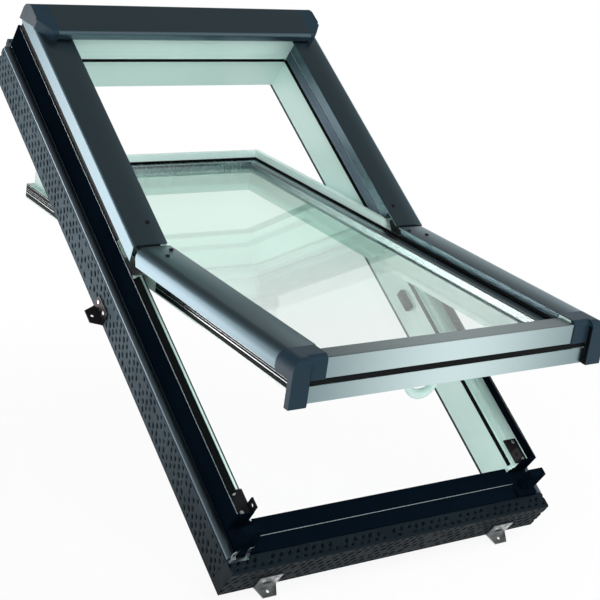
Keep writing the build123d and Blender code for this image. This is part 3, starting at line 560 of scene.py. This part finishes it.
# Black parts: strikers, opening stops, hinge drums and bolt guides, moulded in black plastic and
# screwed on, with the black-coated screws of the covers and the black-coated side brackets.
black_plastic = worked_material(
    "black_plastic", dark=(0.006, 0.006, 0.008), light=(0.012, 0.012, 0.014), metallic=0.0,
    rough=(0.32, 0.5), patch_scale=12.0, line_scale=260.0, stretch=(1.0, 1.0, 1.0), bump=0.12,
    Specular_IOR_Level=0.12)
dress(black_plastic, *both("striker", "opening_stop", "hinge_drum"), "bolt_guides", "cover_screws",
      "sash_cover_screws", "side_brackets")

# Handle grip: one white moulding on two short pins in its base, bowed like a smile and thickest in
# its middle. The path is half an ellipse under the pins, and the radius of the round section
# grows from the pins to the middle with the squared sine of the way along it.
pin_up, pin_out = -551.0, -78.0
half_span, drop = 42.0, 43.0
thin, thicker_by = 5.0, 6.0
flattened = 0.85
sweep = np.linspace(0.0, math.pi, 41)[:, None]
round_turn = np.linspace(0.0, 2.0 * math.pi, 25)[None, :-1]
radius = thin + thicker_by * np.sin(sweep) ** 2
outward = np.stack([-np.cos(sweep) / half_span, -np.sin(sweep) / drop], axis=-1)
outward = outward / np.linalg.norm(outward, axis=-1, keepdims=True)
grip_across = -half_span * np.cos(sweep) + radius * np.cos(round_turn) * outward[..., 0]
grip_out = pin_out - drop * np.sin(sweep) + radius * np.cos(round_turn) * outward[..., 1]
grip_up = pin_up + flattened * radius * np.sin(round_turn)
bar_piece("handle_grip", on_sash(grip_across, grip_up, grip_out), white_profile, "handle",
          "white_profile", "handle")
pin_radius = 2.8
pin_run = np.array([28.5, 41.0])
pin_section = [pin_up, pin_out] + pin_radius * circle
for side, sign in sides:
    bar_piece(f"handle_pin_{side}", cross_bar(on_sash, pin_section, sign * pin_run),
              white_profile, "handle", "white_profile")

# Foam collar: four lengths of insulation foam, tucked under the frame and butted at the corners,
# dark slate, with staggered rows of small oval press marks and a skin that is not quite flat.
# Painted shade darkens the press marks and the foam towards its foot.
foam = worked_material(
    "foam", dark=(0.020, 0.036, 0.048), light=(0.076, 0.122, 0.150), metallic=0.0,
    rough=(0.45, 0.7), patch_scale=14.0, line_scale=220.0, stretch=(1.0, 1.0, 1.0), bump=0.5,
    painted_shade=(0.001, 0.002, 0.003), Specular_IOR_Level=0.12, Specular_Tint=(0.45, 0.78, 1.0, 1))
foam_step = 1.7


def foam_section(width, height, tuck, lift, corner):
    """Points round the foam, normals that fade out at the edges, and the running length.

    It goes along the underside, up the outer face, round the corner, over the top and back under
    the frame.
    """
    fade_on_face, fade_on_top = 6.0, 5.0
    up = np.arange(0.0, height - corner, foam_step)
    over = np.arange(width - corner, 0.0, -foam_step)
    turn = np.linspace(0.0, math.pi / 2, 6)
    rounding = np.c_[width - corner + corner * np.cos(turn),
                     height - corner + corner * np.sin(turn)]
    points = np.r_[[[-tuck, 0.0], [0.0, 0.0]], np.c_[np.full(len(up), width), up], rounding,
                   np.c_[over, np.full(len(over), height)],
                   [[0.0, height], [0.0, lift], [-tuck, lift]]]
    face = np.clip(np.minimum(up, height - corner - up) / fade_on_face, 0.0, 1.0)
    top = np.clip(np.minimum(over, width - corner - over) / fade_on_top, 0.0, 1.0)
    normals = np.r_[np.zeros((2, 2)), np.c_[face, 0.0 * face], np.zeros((len(turn), 2)),
                    np.c_[0.0 * top, top], np.zeros((3, 2))]
    running = np.r_[0.0, np.cumsum(np.linalg.norm(np.diff(points, axis=0), axis=1))]
    return points, normals, running


def dimples(along, around):
    """Depth of the press marks in millimetres at each place along and around the foam.

    Ovals stand in a lattice with every second row shifted by half. Each is moved, turned about 45
    degrees and sized by a fixed scatter of its own, and about one in eight is missing. The depth
    is the full depth times one minus the squared oval radius, raised to 0.7, and a slow swell
    keeps the skin from being flat.
    """
    pitch, row_height = 20.0, 14.0
    half_length, half_breadth, full_depth = 7.5, 3.8, 3.0
    moved_along, moved_around = 4.0, 2.0
    middle_turn, turn_spread = 0.75, 0.7
    smallest, size_spread = 0.75, 0.4
    missing_share = 0.12
    skin, swell_height = 0.3, 0.125
    row = np.floor(around / row_height)
    column = along / pitch + 0.5 * np.mod(row, 2)
    cell = np.floor(column)

    def scattered(by_cell, by_row, gain):
        return np.mod(np.sin(cell * by_cell + row * by_row) * gain, 1.0)

    scatter = scattered(12.9898, 78.233, 43758.5453)
    other = scattered(39.346, 11.135, 24634.6345)
    across = (column - cell - 0.5) * pitch + (scatter - 0.5) * moved_along
    beside = (around / row_height - row - 0.5) * row_height + (other - 0.5) * moved_around
    turn = middle_turn + turn_spread * (other - 0.5)
    size = smallest + size_spread * scatter
    longways = (across * np.cos(turn) + beside * np.sin(turn)) / (half_length * size)
    crossways = (beside * np.cos(turn) - across * np.sin(turn)) / (half_breadth * size)
    pressed = full_depth * np.clip(1.0 - longways ** 2 - crossways ** 2, 0.0, 1.0) ** 0.7
    swell = np.sin(along / 61.0) * np.sin(around / 17.0 + along / 140.0)
    return np.where(scatter > missing_share, pressed, 0.0) + skin + swell_height * swell


foam_height, foam_tuck, foam_lift, foam_corner = 80.0, 40.0, 20.0, 5.0
side_edge, end_edge = 390.0, 700.0
between_jambs = 349.0
foam_lengths = (
    # node, width, start, end, how far from the middle it is tucked in, place on the roof
    ("collar_left", 23.0, -700.0, 690.0, math.inf,
     lambda u, out, z: on_roof(-side_edge - out, u, z)),
    ("collar_right", 23.0, -700.0, 690.0, math.inf,
     lambda u, out, z: on_roof(side_edge + out, u, z)),
    ("collar_lower", 34.0, -413.0, 413.0, between_jambs,
     lambda u, out, z: on_roof(u, -end_edge - out, z)),
    ("collar_upper", 22.0, -390.0, 390.0, between_jambs,
     lambda u, out, z: on_roof(u, end_edge + out, z)),
)
# Painted shade: the press marks darken with their depth, and the foam darkens towards its foot;
# both go into the mesh's "pressed" values.
mark_shade_starts, mark_shade_ramp = 0.8, 1.2
foot_shade_height, darkest_foot_shade = 0.5, 0.95
for node, width, start, end, tucked_to, on_edge in foam_lengths:
    points, normals, running = foam_section(width, foam_height, foam_tuck, foam_lift, foam_corner)
    along = np.linspace(start, end, int((end - start) / foam_step))
    depth = dimples(along[:, None], running[None, :])
    tucked = np.where(np.abs(along) > tucked_to, 0.0, 1.0)[:, None]
    out = points[None, :, 0]
    out = np.where(out < 0.0, out * tucked, out) - depth * normals[None, :, 0]
    height = points[None, :, 1] - depth * normals[None, :, 1]
    rings = on_edge(along[:, None], out, height)
    piece = bar_piece("pressed_" + node, rings, foam, "frame", "foam", node)
    mark = np.clip((depth - mark_shade_starts) / mark_shade_ramp, 0.0, 1.0) * np.linalg.norm(normals, axis=1)
    foot = np.clip(1.0 - rings[..., 2] / foot_shade_height, 0.0, darkest_foot_shade)
    pressed = piece.data.attributes.new("pressed", "FLOAT", "POINT")
    pressed.data.foreach_set("value", np.maximum(mark, foot).ravel())

# Collar strips: half-round edging of anthracite aluminium, laid on the foam beside the cladding
# and pinned through it.
strip_metal = worked_material(
    "strip_metal", dark=(0.14, 0.185, 0.22), light=(0.19, 0.235, 0.27), metallic=1.0,
    rough=(0.38, 0.5), patch_scale=3.0, line_scale=120.0, stretch=(1.0, 0.04, 0.04), bump=0.04)
strip_middle, strip_base, strip_foot = 401.4, 80.2, 79.0
strip_half, strip_rise = 9.8, 5.0
arc = np.linspace(0.0, math.pi, 25)
strip_section = np.r_[
    np.c_[strip_middle + strip_half * np.cos(arc), strip_base + strip_rise * np.sin(arc)],
    [[strip_middle - strip_half, strip_foot], [strip_middle + strip_half, strip_foot]]]
for side, sign in sides:
    bar_piece(f"collar_strip_{side}", slope_bar(on_roof, sign, strip_section, (-699.0, 688.0)),
              strip_metal, "frame", "anthracite_cover")

# Corner lugs: a bright strip of aluminium, pinned on the foam at the lower left corner, with two
# tabs bent up from it beside the sill. Each tab narrows to half as it rises, leans back and
# inwards, and bows back by the sine of the way up.
lug_section = np.array([[-709.0, 80.1], [-701.5, 80.1], [-701.5, 81.5], [-709.0, 81.5]])
bar_piece("corner_lug_strip", cross_bar(on_roof, lug_section, (-411.0, -366.0)),
          bead_metal, "frame", "bright_aluminium")
tab_foot, tab_base = -703.0, 81.6
tab_inwards, tab_back, tab_bow = 3.0, 4.0, 3.0
tab_half_sheet = 0.6
rise = np.linspace(0.0, 1.0, 17)[:, None]
flat = np.array([[-1.0, -1.0], [1.0, -1.0], [1.0, 1.0], [-1.0, 1.0]])[None, :]
tabs = ((-400.0, 6.0, 24.0), (-368.0, 5.5, 30.0))
for number, (middle, half_width, tab_height) in enumerate(tabs, 1):
    tab_across = middle + tab_inwards * rise ** 2 + half_width * (1.0 - 0.5 * rise) * flat[..., 0]
    tab_up = (tab_foot + tab_back * rise + tab_bow * np.sin(math.pi * rise)
              + tab_half_sheet * flat[..., 1])
    bar_piece(f"corner_lug_tab_{number}", on_roof(tab_across, tab_up, tab_base + tab_height * rise),
              bead_metal, "frame", "bright_aluminium")

# Roof brackets: steel angles below and above, cut and folded from zinc-plated sheet and screwed
# through the foam, blotched where the zinc has dulled.
bracket_steel = worked_material(
    "bracket_steel", dark=(0.12, 0.125, 0.13), light=(0.62, 0.64, 0.64), metallic=1.0,
    rough=(0.24, 0.46), patch_scale=42.0, line_scale=120.0, stretch=(1.0, 1.0, 1.0), bump=0.15)
dress(bracket_steel, "lower_brackets", "upper_brackets")
